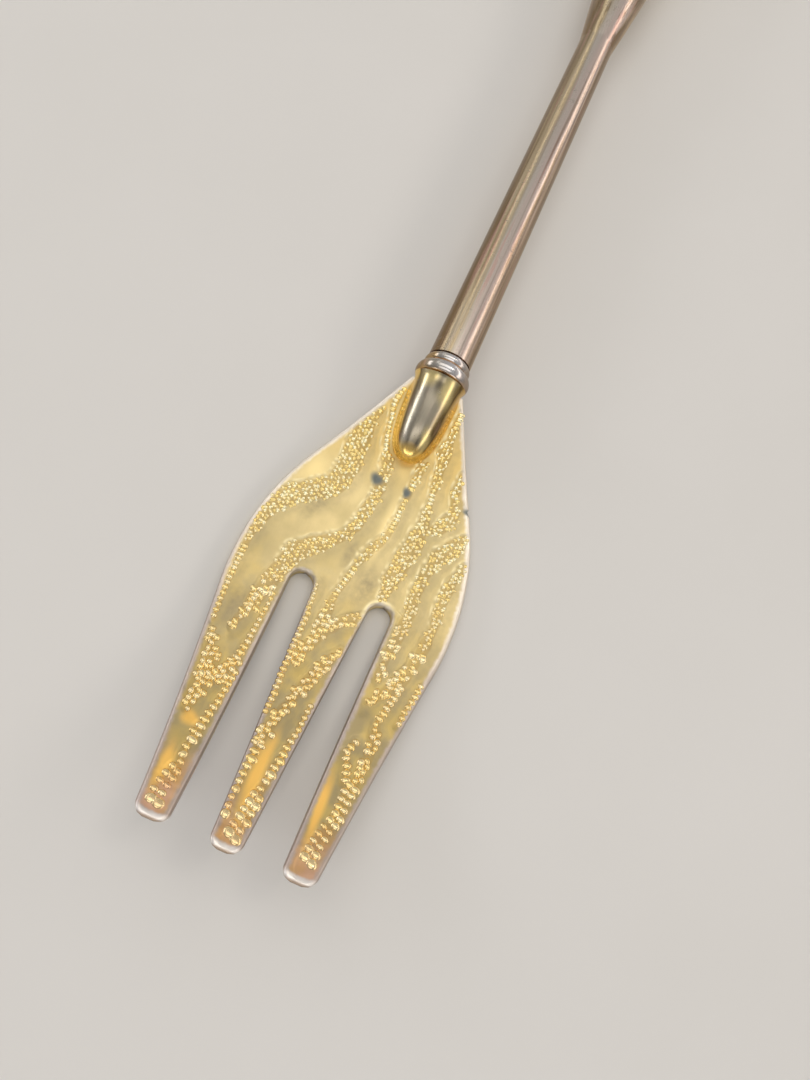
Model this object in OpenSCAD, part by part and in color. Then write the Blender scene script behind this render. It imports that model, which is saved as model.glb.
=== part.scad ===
// Oyster fork: a struck head with three broad tines, a cast bolster whose tongue lies on the
// root of the head, a collar of two beads, a tapered shank and a hollow flared handle.
// It lies on its belly with the tines towards +X and +Z up. All lengths are millimetres.

/* [Head outline] */
// Length of the head, from the collar to the tips of the tines
head_length = 40.2; // [36:0.1:46]
// Width of the head where it leaves the collar
root_width = 4.8; // [4.4:0.1:6]
// Width across the shoulders, measured to their corners before rounding
shoulder_width = 21; // [18:0.1:24]
// Distance of the shoulder corners from the collar
shoulder_place = 15.4; // [13:0.1:17]
// Radius that rounds the shoulders
shoulder_radius = 22.5; // [8:0.5:24]
// Width across the outer tines at their tips
tip_spread = 13.2; // [12:0.1:16]

/* [Tines] */
// Distance of the slot roots from the collar
slot_place = 19.1; // [17:0.1:23]
// Width of a slot at its round root
slot_root_width = 2; // [1.2:0.1:2.6]
// Width of a slot at its mouth, between the tips
slot_mouth_width = 3; // [1.6:0.1:3.2]
// Distance between the two slots at their roots
slot_root_spacing = 7; // [6:0.1:8]
// Distance between the two slots at their mouths
slot_mouth_spacing = 5.3; // [5:0.1:6.4]
// Radius of the corners at the end of a tine
tip_radius = 0.8; // [0.2:0.05:0.9]

/* [Head side view] */
// Thickness of the head's plate
plate_thickness = 1.2; // [0.9:0.05:1.5]
// Thickness of the plate at the tips of the tines
tip_thickness = 1; // [0.6:0.05:1.4]
// Slope of the head's neck below the level, in degrees
neck_slope = 17; // [14:1:22]
// Radius of the bend between the neck and the flat belly
neck_radius = 24; // [14:1:26]
// How far the plate lies below the shank's axis at the collar
neck_drop = 0.7; // [0.4:0.05:1]
// Distance from the collar to the front end of the flat belly
belly_front = 17.1; // [15.5:0.1:20]
// Radius of the upward bend of the tines
tine_radius = 48; // [40:1:80]

/* [Bolster] */
// Diameter of the bolster at the collar
bolster_diameter = 4; // [3.4:0.05:4.2]
// Diameter of the tongue near its end
tongue_diameter = 3.85; // [3.2:0.05:4.1]
// Length of the tongue from the collar to its tip
tongue_length = 6.8; // [5:0.1:9]
// Slope of the tongue below the level, in degrees
tongue_slope = 10; // [7:0.5:13]
// Length of the solid root behind the slot that takes the plate
bolster_root = 0.6; // [0.3:0.05:1]
// Diameter of the round tenon that carries the collar
tenon_diameter = 2.6; // [1.8:0.05:2.7]
// Depth of the tenon in the shank
tenon_depth = 5; // [2:0.1:9]

/* [Collar] */
// Diameter of the large bead
large_bead_diameter = 4.9; // [4.5:0.05:5.4]
// Length of the large bead along the shank
large_bead_length = 1.25; // [0.8:0.05:1.7]
// Diameter of the small bead
small_bead_diameter = 4.15; // [3.9:0.05:4.5]
// Length of the small bead along the shank
small_bead_length = 1; // [0.6:0.05:1.2]

/* [Shank] */
// Length of the shank between the collar and the handle
shank_length = 40.6; // [30:0.2:55]
// Diameter of the shank at the collar
shank_front_diameter = 3.85; // [3.7:0.05:4.2]
// Diameter of the shank at the handle
shank_rear_diameter = 3.5; // [3:0.05:3.8]
// Diameter of the tang that runs into the handle
tang_diameter = 2.2; // [1.4:0.05:2.4]
// Length of the tang
tang_length = 34; // [20:0.5:48]

/* [Handle] */
// Length of the handle from the shank to the end of its dome
handle_length = 67; // [60:0.5:80]
// Diameter of the handle's grip
grip_diameter = 7.4; // [6.8:0.1:8.6]
// Length over which the handle flares out from the shank
flare_length = 27; // [20:0.5:36]
// Wall of the hollow handle
handle_wall = 0.6; // [0.4:0.05:1]
// Length of the solid neck that seats the shank
handle_neck = 10; // [8:0.5:14]
// Length of the straight rim of the end cap
cap_rim = 1.6; // [0.8:0.1:3]
// Length of the cap's lip inside the handle
lip_length = 3; // [1.5:0.1:5]

/* [Hidden] */
// Room for solder on each side of a seat
clearance = 0.05;
// How far a cutting shape runs past what it cuts
overrun = 1;
// Smoothness of turned surfaces
$fn = 64;
// Straight steps in one rounded corner or bend
arc_steps = 12;

// The shank lies level, as high as the grip that it rests on
axis_height = grip_diameter / 2;
collar_length = large_bead_length + small_bead_length;
overall_length = head_length + collar_length + shank_length + handle_length;
// Place of the collar's front face, with the origin under the middle of the fork
collar_x = overall_length / 2 - head_length;

// The plate's middle line: a sloping neck, a bend, the flat belly and the rising tines
belly_height = plate_thickness / 2;
neck_bend_rise = neck_radius * (1 - cos(neck_slope));
neck_bend_run = neck_radius * sin(neck_slope);
neck_fall = axis_height - neck_drop - belly_height - neck_bend_rise;
neck_end = neck_fall / tan(neck_slope);
belly_back = neck_end + neck_bend_run;

tenon_length = collar_length + tenon_depth;
collar_bore = tenon_diameter + 2 * clearance;
tang_bore = tang_diameter + 2 * clearance;
dome_radius = grip_diameter / 2;
shell_length = handle_length - dome_radius - cap_rim;
cavity_radius = grip_diameter / 2 - handle_wall;
lip_radius = cavity_radius - clearance;
filling_start = handle_neck + clearance;
filling_end = shell_length - lip_length - clearance;

gilt = [0.84, 0.68, 0.36];
pale_gilt = [0.86, 0.78, 0.56];
worn_silver = [0.82, 0.80, 0.76];
pitch = [0.20, 0.13, 0.09];

// Height of the plate's middle line at a distance from the collar
function plate_height(x) =
    x < neck_end ? belly_height + neck_bend_rise + (neck_end - x) * tan(neck_slope)
    : x < belly_back ? belly_height + neck_radius - sqrt(pow(neck_radius, 2) - pow(belly_back - x, 2))
    : x < belly_front ? belly_height
    : belly_height + tine_radius - sqrt(pow(tine_radius, 2) - pow(x - belly_front, 2));

// Rising angle of the middle line there
function plate_angle(x) =
    x < neck_end ? -neck_slope
    : x < belly_back ? -asin((belly_back - x) / neck_radius)
    : x < belly_front ? 0
    : asin((x - belly_front) / tine_radius);

// Half the plate's thickness there, which tapers along the tines
function plate_half(x) =
    x < belly_front ? plate_thickness / 2
    : plate_thickness / 2 + (tip_thickness - plate_thickness) / 2 * (x - belly_front) / (head_length - belly_front);

// Point on the plate's upper or lower side, or as far outside it as room says
function plate_point(x, side, room) =
    let (reach = side * (plate_half(x) + room), angle = plate_angle(x))
    [x - reach * sin(angle), plate_height(x) + reach * cos(angle)];

// Distances from the collar at which the side view has its points
function plate_stations(from) = concat(
    [from],
    [for (i = [0 : arc_steps]) neck_end + (belly_back - neck_end) * i / arc_steps],
    [for (i = [0 : 2 * arc_steps]) belly_front + (head_length - belly_front) * i / (2 * arc_steps)]);

// Side view of the plate, grown by the room on both faces
function plate_profile(from, room) =
    let (stations = plate_stations(from), last = len(stations) - 1)
    concat(
        [for (i = [0 : last]) plate_point(stations[i], -1, room)],
        [for (i = [last : -1 : 0]) plate_point(stations[i], 1, room)]);

function unit(v) = v / norm(v);
function turned(v, a) = [v.x * cos(a) - v.y * sin(a), v.x * sin(a) + v.y * cos(a)];

// Points that round a corner between its two neighbours with an arc
function rounded(before, corner, after, radius) =
    let (
        back = unit(before - corner),
        ahead = unit(after - corner),
        half = acos(back * ahead) / 2,
        centre = corner + unit(back + ahead) * radius / sin(half),
        start = corner + back * radius / tan(half) - centre,
        end = corner + ahead * radius / tan(half) - centre,
        sweep = sign(cross(start, end)) * (180 - 2 * half))
    radius == 0 ? [corner] : [for (i = [0 : arc_steps]) centre + turned(start, sweep * i / arc_steps)];

// An outline of corners, each given as a point and its rounding radius
function rounded_outline(corners) =
    let (count = len(corners))
    [for (i = [0 : count - 1])
        each rounded(
            corners[(i + count - 1) % count][0],
            corners[i][0],
            corners[(i + 1) % count][0],
            corners[i][1])];

// Corners of the left half of the head, from the collar round one slot to the middle tine
head_corners = [
    [[0, root_width / 2], 0],
    [[shoulder_place, shoulder_width / 2], shoulder_radius],
    [[head_length, tip_spread / 2], tip_radius],
    [[head_length, (slot_mouth_spacing + slot_mouth_width) / 2], tip_radius],
    [[slot_place, (slot_root_spacing + slot_root_width) / 2], slot_root_width / 2],
    [[slot_place, (slot_root_spacing - slot_root_width) / 2], slot_root_width / 2],
    [[head_length, (slot_mouth_spacing - slot_mouth_width) / 2], tip_radius],
];

// The same corners on the right half, in the order that closes the outline
mirrored_corners = [
    for (i = [len(head_corners) - 1 : -1 : 0])
        [[head_corners[i][0].x, -head_corners[i][0].y], head_corners[i][1]]];

// Radius of the handle at a distance behind the shank: a flare that eases into the grip
function handle_radius(s) =
    s > flare_length ? grip_diameter / 2
    : shank_rear_diameter / 2 + (grip_diameter - shank_rear_diameter) / 2 * sin(90 * s / flare_length);

// Distances behind the shank at which the handle's outline has its points
function handle_stations(from, to) = concat(
    [for (i = [0 : 2 * arc_steps]) from + (flare_length - from) * i / (2 * arc_steps)],
    [to]);

// Places children that are drawn with +X along the fork and zero at the collar's front face
module at_collar() {
    translate([collar_x, 0, 0]) children();
}

// Turns a profile of radius and distance behind a point of the shank's axis
module turned_behind(distance) {
    translate([collar_x - distance, 0, axis_height]) rotate([0, -90, 0]) rotate_extrude() children();
}

// Solid of the plate's side view, wider than the head
module plate_strip(from, room) {
    translate([0, shoulder_width / 2, 0])
        rotate([90, 0, 0])
            linear_extrude(shoulder_width) polygon(plate_profile(from, room));
}

// The struck head: its side view cut to its outline, notched where the bolster stands
module fork_head() {
    color(gilt) at_collar() difference() {
        intersection() {
            plate_strip(-overrun, 0);
            translate([clearance, 0, -overrun])
                linear_extrude(tine_radius)
                    polygon(rounded_outline(concat(head_corners, mirrored_corners)));
        }
        translate([-overrun, 0, axis_height])
            rotate([0, 90, 0])
                cylinder(h = overrun + bolster_root + clearance, d = bolster_diameter + 2 * clearance);
    }
}

// Half section of the sloping tongue: a taper that ends in a dome
module tongue_section() {
    tongue_end = tongue_diameter / 2;
    straight = tongue_length - tongue_end;
    polygon([[0, 0], [bolster_diameter / 2, 0], [tongue_end, straight], [0, straight]]);
    translate([0, straight]) intersection() {
        circle(tongue_end);
        square(tongue_end);
    }
}

// The cast bolster: a round root and tongue with a slot for the plate, and the collar's tenon
module bolster() {
    color(pale_gilt) difference() {
        union() {
            translate([collar_x, 0, axis_height])
                rotate([0, 90, 0])
                    cylinder(h = bolster_root, d = bolster_diameter);
            intersection() {
                translate([collar_x, 0, axis_height])
                    rotate([0, 90 + tongue_slope, 0])
                        rotate_extrude() tongue_section();
                translate([collar_x, -bolster_diameter, 0])
                    cube([tongue_length + overrun, 2 * bolster_diameter, 2 * axis_height]);
            }
            translate([collar_x - tenon_length, 0, axis_height])
                rotate([0, 90, 0])
                    cylinder(h = tenon_length + bolster_root, d = tenon_diameter);
        }
        at_collar() plate_strip(bolster_root, clearance);
    }
}

// Half section of one bead of the collar, round outside and bored for the tenon
module bead_section(diameter, length) {
    middle = (diameter - length) / 2;
    translate([collar_bore / 2, 0]) square([middle - collar_bore / 2, length]);
    intersection() {
        translate([middle, length / 2]) circle(d = length);
        translate([collar_bore / 2, 0]) square([diameter / 2, length]);
    }
}

// The larger bead of the collar, against the bolster
module large_bead() {
    color(worn_silver) turned_behind(0) bead_section(large_bead_diameter, large_bead_length);
}

// The smaller bead of the collar, against the shank
module small_bead() {
    color(worn_silver) turned_behind(large_bead_length) bead_section(small_bead_diameter, small_bead_length);
}

// The tapered shank, bored in front for the tenon and drawn down behind to a tang
module shank() {
    color(gilt) turned_behind(collar_length) difference() {
        union() {
            polygon([
                [0, 0],
                [shank_front_diameter / 2, 0],
                [shank_rear_diameter / 2, shank_length],
                [0, shank_length]]);
            translate([0, shank_length]) square([tang_diameter / 2, tang_length]);
        }
        translate([0, -overrun]) square([collar_bore / 2, overrun + tenon_depth + clearance]);
    }
}

// The hollow handle: a flaring shell with a solid neck, open at its end for the cap
module handle_shell() {
    color(gilt) turned_behind(collar_length + shank_length) difference() {
        polygon(concat(
            [[0, 0]],
            [for (s = handle_stations(0, shell_length)) [handle_radius(s), s]],
            [[0, shell_length]]));
        translate([0, -overrun]) square([tang_bore / 2, handle_length]);
        polygon(concat(
            [[0, handle_neck]],
            [for (s = handle_stations(handle_neck, shell_length + overrun)) [handle_radius(s) - handle_wall, s]],
            [[0, shell_length + overrun]]));
    }
}

// The setting pitch that fills the handle round the tang
module handle_filling() {
    color(pitch) turned_behind(collar_length + shank_length) difference() {
        polygon(concat(
            [[0, filling_start]],
            [for (s = handle_stations(filling_start, filling_end))
                [handle_radius(s) - handle_wall - clearance, s]],
            [[0, filling_end]]));
        square([tang_bore / 2, tang_length + clearance]);
    }
}

// The domed end cap, a thin shell with a lip that seats inside the handle
module end_cap() {
    color(gilt) turned_behind(collar_length + shank_length + shell_length) difference() {
        union() {
            translate([0, -lip_length]) square([lip_radius, lip_length + cap_rim]);
            square([dome_radius, cap_rim]);
            translate([0, cap_rim]) intersection() {
                circle(dome_radius);
                square(dome_radius);
            }
        }
        translate([0, -lip_length - overrun])
            square([lip_radius - handle_wall, lip_length + overrun + cap_rim]);
        translate([0, cap_rim]) intersection() {
            circle(lip_radius - handle_wall);
            square(dome_radius);
        }
    }
}

fork_head();
bolster();
large_bead();
small_bead();
shank();
handle_shell();
handle_filling();
end_cap();
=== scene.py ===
# %% [markdown]
# # An oyster fork, piece by piece
# The fork is small: a struck gilt head with three blunt tines, a tongue-shaped bolster that lies on
# the head's root, a collar of two beads, a slender shank and a hollow flared handle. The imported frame
# already holds every piece at its real size. Here each piece is modelled again with enough faces for
# polished metal, and gets the finish that the real one has.

# %% Load the frame
import math
from types import SimpleNamespace

import bmesh
import bpy
import numpy as np
from mathutils import Matrix, Vector


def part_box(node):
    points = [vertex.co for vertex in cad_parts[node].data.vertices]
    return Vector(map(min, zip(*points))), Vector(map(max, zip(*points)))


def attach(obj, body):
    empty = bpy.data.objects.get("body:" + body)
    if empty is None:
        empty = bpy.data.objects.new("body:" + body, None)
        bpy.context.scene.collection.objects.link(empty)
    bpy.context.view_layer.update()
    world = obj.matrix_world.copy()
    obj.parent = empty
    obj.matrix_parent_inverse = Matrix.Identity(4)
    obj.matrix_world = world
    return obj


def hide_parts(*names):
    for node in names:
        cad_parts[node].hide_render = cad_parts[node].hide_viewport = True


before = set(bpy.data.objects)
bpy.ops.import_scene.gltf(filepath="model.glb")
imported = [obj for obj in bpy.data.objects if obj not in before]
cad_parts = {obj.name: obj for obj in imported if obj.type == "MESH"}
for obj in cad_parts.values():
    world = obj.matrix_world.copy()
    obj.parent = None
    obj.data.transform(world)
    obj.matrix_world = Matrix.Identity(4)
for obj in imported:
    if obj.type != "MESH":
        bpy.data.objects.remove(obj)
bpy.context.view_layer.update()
print("pieces in the frame:", ", ".join(sorted(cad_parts)))

# %% [markdown]
# Everything on the fork lines up on two references: the front face of the collar and the axis of the
# shank. Both come from the frame's large bead, so the new pieces need no fitting. Sizes are written in
# millimetres, because the fork is measured that way, and `MM` turns them into metres.

# %% References
MM = 0.001
bead_low, bead_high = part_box("large_bead")
collar = Vector((bead_high.x, 0.0, (bead_low.z + bead_high.z) / 2))
print(f"collar at x {collar.x / MM:.2f} mm, axis {collar.z / MM:.2f} mm above the floor")

# %% [markdown]
# ## Camera
# The picture is taken from close above the tips of the tines, with a short lens, so the head looks
# large and the shank runs away to the upper right. A camera is described best by where it stands,
# what it looks at and which way on the table is up in the picture. The clipping distance has to be
# smaller than usual because the lens is only a few centimetres from the metal.

# %% Camera
CAMERA_AHEAD = 34.8
CAMERA_ASIDE = 1.25
CAMERA_HEIGHT = 65.4
AIM_AHEAD = 12.8
AIM_ASIDE = 2.84
UP_TURN = math.radians(23)
LENS = 27.03

camera_place = Vector((collar.x + CAMERA_AHEAD * MM, CAMERA_ASIDE * MM, CAMERA_HEIGHT * MM))
aim = Vector((collar.x + AIM_AHEAD * MM, AIM_ASIDE * MM, 0.0))
look = (aim - camera_place).normalized()
side = look.cross(Vector((-math.cos(UP_TURN), -math.sin(UP_TURN), 0.0))).normalized()
turn = Matrix((side, side.cross(look), -look)).transposed()
camera = bpy.data.objects.new("camera", bpy.data.cameras.new("camera"))
camera.matrix_world = Matrix.Translation(camera_place) @ turn.to_4x4()
camera.data.sensor_width = 36.0
camera.data.lens = LENS
camera.data.clip_start = 1 * MM
bpy.context.scene.collection.objects.link(camera)
bpy.context.scene.camera = camera
print(f"camera {(camera_place - aim).length / MM:.1f} mm from its aim")

# %% [markdown]
# ## Nodes
# The finishes of the pieces and the world behind the lights are made of nodes. They are mostly sums, soft
# steps, noise and layers of tone, so each of these gets a helper that is used in one line.

# %% Node helpers
MIX_INPUTS = (0, 6, 7)
MIX_RESULT = 2


def plug(socket, value):
    """Links an output to a socket, or sets the socket to a number or a colour."""
    if hasattr(value, "is_linked"):
        socket.id_data.links.new(value, socket)
    else:
        socket.default_value = value


def feed(target, **values):
    """Gives a node its values by the names of its sockets or, for other names, its properties."""
    for name, value in values.items():
        socket = target.inputs.get(name.replace("_", " "))
        if socket is None:
            setattr(target, name, value)
        else:
            plug(socket, value)


def node(tree, kind, **values):
    """Adds a node with its values."""
    made = tree.nodes.new(kind)
    feed(made, **values)
    return made


def tree_of(*values):
    """The node tree of the first output among some values."""
    return next(value.id_data for value in values if hasattr(value, "is_linked"))


def math_node(operation, *values):
    """One arithmetic step."""
    made = node(tree_of(*values), "ShaderNodeMath", operation=operation)
    for socket, value in zip(made.inputs, values):
        plug(socket, value)
    return made.outputs["Value"]


def product(first, second):
    """Two values multiplied."""
    return math_node("MULTIPLY", first, second)


def ramp(value, low, high, to_low=0.0, to_high=1.0):
    """Eases from one value to another while the input goes from low to high."""
    made = node(
        value.id_data, "ShaderNodeMapRange", interpolation_type="SMOOTHSTEP", clamp=True, Value=value,
        From_Min=low, From_Max=high, To_Min=to_low, To_Max=to_high)
    return made.outputs["Result"]


def blend(share, first, second):
    """Mixes two colours by a share."""
    made = node(tree_of(share, first, second), "ShaderNodeMix", data_type="RGBA")
    for place, value in zip(MIX_INPUTS, (share, first, second)):
        plug(made.inputs[place], value)
    return made.outputs[MIX_RESULT]


def layered(colour, *layers):
    """Lays tones over a colour, each by its own share."""
    for share, tone in layers:
        colour = blend(share, colour, tone)
    return colour


def noise(place, scale, detail=3.0, stretch=None):
    """Soft noise on object coordinates; scale is in features a metre, stretch turns it into streaks."""
    tree = place.id_data
    if stretch is not None:
        place = node(tree, "ShaderNodeMapping", Vector=place, Scale=stretch).outputs["Vector"]
    return node(tree, "ShaderNodeTexNoise", Vector=place, Scale=scale, Detail=detail).outputs["Fac"]

# %% [markdown]
# ## Floor and light
# Polished metal shows its surroundings more than its own colour, so the light is planned as a set of
# plain shapes to be mirrored: two large soft panels overhead for the head, a small bright lamp that
# makes its beads sparkle, three long panels beside the shank that draw streaks along it, and one low
# in front of the tips. The world behind them stays dim.

# %% Lights
FRONT_LEAN = math.radians(72)


def srgb(red, green, blue):
    """Turns a colour as it looks on a screen, 0 to 255, into the linear colour a shader takes."""
    def linear(value):
        value /= 255
        return value / 12.92 if value <= 0.04045 else ((value + 0.055) / 1.055) ** 2.4
    return (linear(red), linear(green), linear(blue), 1.0)


def panel(name, middle, width, length, radiance, tint):
    """A soft panel beside the shank, its long side parallel to it, that faces the shank's axis."""
    light = bpy.data.lights.new(name, "AREA")
    light.shape = "RECTANGLE"
    light.size = length
    light.size_y = width
    light.color = tint[:3]
    light.energy = radiance * math.pi * width * length
    way = -Vector((0.0, middle[1], middle[2])).normalized()
    along = Vector((1.0, 0.0, 0.0))
    turn = Matrix((along, way.cross(along), -way)).transposed()
    lamp = bpy.data.objects.new(name, light)
    lamp.visible_camera = False
    lamp.matrix_world = Matrix.Translation(collar + Vector(middle)) @ turn.to_4x4()
    bpy.context.scene.collection.objects.link(lamp)
    return lamp


panel("overhead panel", (-0.23, -0.10, 0.64), 0.58, 0.39, 1.1, srgb(255, 249, 240))
panel("fill panel", (0.32, -0.06, 0.64), 0.58, 0.35, 1.2, srgb(255, 250, 244))
panel("key lamp", (-0.23, 0.24, 0.61), 0.10, 0.10, 8.0, srgb(255, 247, 234))
panel("right strip", (-1.20, 1.08, 0.65), 0.28, 4.0, 1.7, srgb(255, 244, 232))
panel("left window", (-0.32, -1.45, 0.52), 0.32, 1.35, 2.6, srgb(248, 248, 255))
panel("left strip", (-0.72, -0.38, 0.42), 0.05, 0.96, 1.4, srgb(255, 250, 240))
front = panel("front strip", (0.0, 0.0, 1.2), 1.6, 0.2, 3.2, srgb(250, 250, 255))
front.matrix_world = Matrix.Rotation(FRONT_LEAN, 4, "Y") @ front.matrix_world

# %% World and floor
GLOW_BEHIND = 0.52
GLOW_AHEAD = 0.32
GLOW_TINT = (1.0, 0.98, 0.96, 1.0)
FLOOR_HALF = 2.5

world = bpy.data.worlds.new("studio")
world.use_nodes = True
sky = world.node_tree
facing = sky.nodes.new("ShaderNodeTexCoord").outputs["Generated"]
apart = node(sky, "ShaderNodeSeparateXYZ", Vector=facing).outputs
glow = node(
    sky, "ShaderNodeMapRange", Value=apart["X"], From_Min=-0.3, From_Max=0.6,
    To_Min=GLOW_BEHIND, To_Max=GLOW_AHEAD)
feed(sky.nodes["Background"], Color=GLOW_TINT, Strength=glow.outputs["Result"])
bpy.context.scene.world = world
bpy.context.scene.view_settings.view_transform = "Standard"

floor_mesh = bmesh.new()
bmesh.ops.create_grid(floor_mesh, x_segments=8, y_segments=8, size=FLOOR_HALF)
floor_data = bpy.data.meshes.new("floor")
floor_mesh.to_mesh(floor_data)
floor_mesh.free()
floor = bpy.data.objects.new("floor", floor_data)
bpy.context.scene.collection.objects.link(floor)
print(f"floor {2 * FLOOR_HALF} m wide")

# %% [markdown]
# ## Shared finishes
# All the visible metal is gilt over silver and was wiped for years, so two effects turn up on several
# pieces: fine scratches along the fork, and small dull specks. Each is a node group, placed in each
# material with its own values.

# %% Wiping scratches and dull specks
def new_group(name, inputs, output):
    """Starts a node group of plain values; gives its inputs, object coordinates and output."""
    group = bpy.data.node_groups.new(name, "ShaderNodeTree")
    for label in inputs:
        group.interface.new_socket(label, in_out="INPUT", socket_type="NodeSocketFloat")
    group.interface.new_socket(output, in_out="OUTPUT", socket_type="NodeSocketFloat")
    given = group.nodes.new("NodeGroupInput").outputs
    place = group.nodes.new("ShaderNodeTexCoord").outputs["Object"]
    return group, given, place, group.nodes.new("NodeGroupOutput").inputs[output]


def use_group(tree, group, **values):
    """Places a node group with its own values."""
    return node(tree, "ShaderNodeGroup", node_tree=group, **values).outputs[0]


scratches, given, place, out = new_group("wiping scratches", ["Across"], "Height")
streaks = noise(place, 1.0, 2.0, (260.0, 5200.0, 5200.0))
hairs = noise(place, 1.0, 1.0, (900.0, 14000.0, 9000.0))
crossing = product(hairs, given["Across"])
plug(out, math_node("ADD", streaks, crossing))

specks, given, place, out = new_group("dull specks", ["Scale", "Amount"], "Mask")
grains = node(specks, "ShaderNodeTexNoise", Vector=place, Scale=given["Scale"], Detail=5.0, Roughness=0.7)
dark = ramp(grains.outputs["Fac"], 0.60, 0.70)
plug(out, product(dark, given["Amount"]))
print("groups:", [g.name for g in bpy.data.node_groups])

# %% [markdown]
# ## Polished metal
# The shank, the handle, the collar and the tongue are polished. Wiping has thinned the gilding on top,
# where the silver under it shows cool and pale, and it stays yellow on the sides. Low down the tones turn
# brown, partly patina where nothing rubs and partly painted shade. The tables of tones also hold painted
# light: their pale stripes are painted highlights and reflections of the lamps, and the tongue's gold
# sides are a painted reflection of the head. One function makes these finishes. It measures how far round
# the axis a point lies, from -2 under the left side through 0 on top to 2, and looks up a tone for that
# place, so the wear and the painted light stay put from every side. Long streaks of noise move the places
# a little.

# %% Metal materials
def principled(name, roughness, metallic=1.0):
    """A new material with its tree, its shader and its object coordinates."""
    material = bpy.data.materials.new(name)
    material.use_nodes = True
    tree = material.node_tree
    shader = tree.nodes["Principled BSDF"]
    feed(shader, Metallic=metallic, Roughness=roughness)
    place = tree.nodes.new("ShaderNodeTexCoord").outputs["Object"]
    return SimpleNamespace(material=material, tree=tree, shader=shader, place=place, roughness=roughness)


def bumped(finish, height, distance):
    """Feeds a height to the shader's normal; distance is in metres."""
    bump = node(finish.tree, "ShaderNodeBump", Strength=1.0, Distance=distance, Height=height)
    feed(finish.shader, Normal=bump.outputs["Normal"])


def attribute(tree, label):
    """Reads what a mesh says about each of its points."""
    return node(tree, "ShaderNodeAttribute", attribute_name=label).outputs["Fac"]

# %% Polished metal
BROWN = srgb(112, 88, 58)
DULL = srgb(150, 144, 134)
BLUSH = srgb(206, 160, 148)
TONE_STREAKS = (45.0, 1500.0, 1500.0)
BLUSH_STREAKS = (60.0, 2200.0, 2200.0)
BROWN_STREAKS = (35.0, 3600.0, 3600.0)


def tones_round(turn, tones):
    """Looks up the tone for a place round the axis; the first tone is for -2 and the last for 2."""
    share = math_node("DIVIDE", math_node("ADD", turn, 2.0), 4.0)
    made = node(turn.id_data, "ShaderNodeValToRGB", Fac=share)
    stops = made.color_ramp.elements
    stops[0].color = srgb(*tones[0][1])
    stops[1].color = srgb(*tones[-1][1])
    for place, tone in tones[1:-1]:
        stops.new((place + 2) / 4).color = srgb(*tone)
    return made.outputs["Color"]


def polished(name, tones, roughness, wander, slope=0.0):
    """Polished gilt metal with its tones placed round an axis that slopes down from the collar."""
    finish = principled(name, roughness)
    tree = finish.tree
    apart = node(tree, "ShaderNodeSeparateXYZ", Vector=finish.place).outputs
    finish.run = math_node("SUBTRACT", apart["X"], collar.x)
    axis = math_node("SUBTRACT", collar.z, product(finish.run, slope))
    up = math_node("SUBTRACT", apart["Z"], axis)
    aside = math_node("ABSOLUTE", apart["Y"])
    lean = math_node("DIVIDE", up, math_node("ADD", math_node("ABSOLUTE", up), aside))
    side = math_node("SIGN", apart["Y"])
    turn = product(math_node("SUBTRACT", 1.0, lean), side)
    streaks = math_node("SUBTRACT", noise(finish.place, 1.0, 4.0, TONE_STREAKS), 0.5)
    finish.turn = math_node("ADD", turn, product(streaks, wander))

    blush = noise(finish.place, 1.0, 3.0, BLUSH_STREAKS)
    rubbed = noise(finish.place, 1.0, 2.0, BROWN_STREAKS)
    finish.colour = layered(
        tones_round(finish.turn, tones),
        (ramp(blush, 0.56, 0.72, 0.0, 0.7 * wander), BLUSH),
        (ramp(rubbed, 0.42, 0.30, 0.0, 0.6 * wander), BROWN))
    return finish


def finished(finish, colour, scratch_depth):
    """Adds dull specks and wiping scratches, and feeds the shader."""
    tree = finish.tree
    dull = use_group(tree, specks, Scale=1600.0, Amount=0.5)
    rough = math_node("ADD", product(dull, 0.2), finish.roughness)
    feed(finish.shader, Base_Color=blend(dull, colour, DULL), Roughness=rough)
    bumped(finish, use_group(tree, scratches, Across=0.5), scratch_depth)

# %% Finish of the shank and the handle
# Worn tones with painted light round the shank: the pale stripes near -0.3 and from 0.25 to 0.42 are
# painted highlights, and the dark bands near -0.62 and 0.6 are painted shade.
SHANK_TONES = [
    (-2, (196, 168, 118)), (-0.9, (184, 156, 110)), (-0.75, (140, 114, 78)), (-0.62, (128, 104, 72)),
    (-0.5, (148, 127, 98)), (-0.4, (172, 152, 120)), (-0.3, (204, 185, 152)), (-0.2, (188, 174, 152)),
    (0, (204, 194, 182)), (0.25, (212, 194, 184)), (0.42, (216, 194, 180)), (0.5, (186, 162, 138)),
    (0.6, (132, 110, 84)), (0.75, (140, 114, 80)), (0.9, (184, 156, 110)), (2, (196, 168, 118))]
GRIP_TONES = [
    (-2, (204, 176, 122)), (-1, (208, 180, 128)), (-0.5, (212, 190, 148)), (-0.2, (206, 194, 172)),
    (0.2, (210, 198, 184)), (0.5, (212, 188, 152)), (1, (206, 178, 126)), (2, (204, 176, 122))]

shank_finish = polished("polished gilt", SHANK_TONES, roughness=0.25, wander=0.8)
on_grip = ramp(shank_finish.run, -50 * MM, -66 * MM)
grip_colour = tones_round(shank_finish.turn, GRIP_TONES)
finished(shank_finish, blend(on_grip, shank_finish.colour, grip_colour), 0.010 * MM)

# %% Finish of the beads
# Round the beads, the pale stop at 0.2 is a painted highlight, and the brown stops beyond -0.55 and 0.6
# are painted shade on the sides, over the worn silver.
BEAD_TONES = [
    (-2, (150, 122, 80)), (-1, (132, 104, 68)), (-0.55, (178, 150, 108)), (-0.35, (176, 170, 160)),
    (-0.1, (206, 204, 204)), (0.2, (226, 224, 226)), (0.4, (196, 188, 184)), (0.6, (164, 150, 136)),
    (1, (132, 106, 76)), (2, (150, 122, 80))]
GROOVE_GILT = srgb(206, 156, 88)

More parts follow.
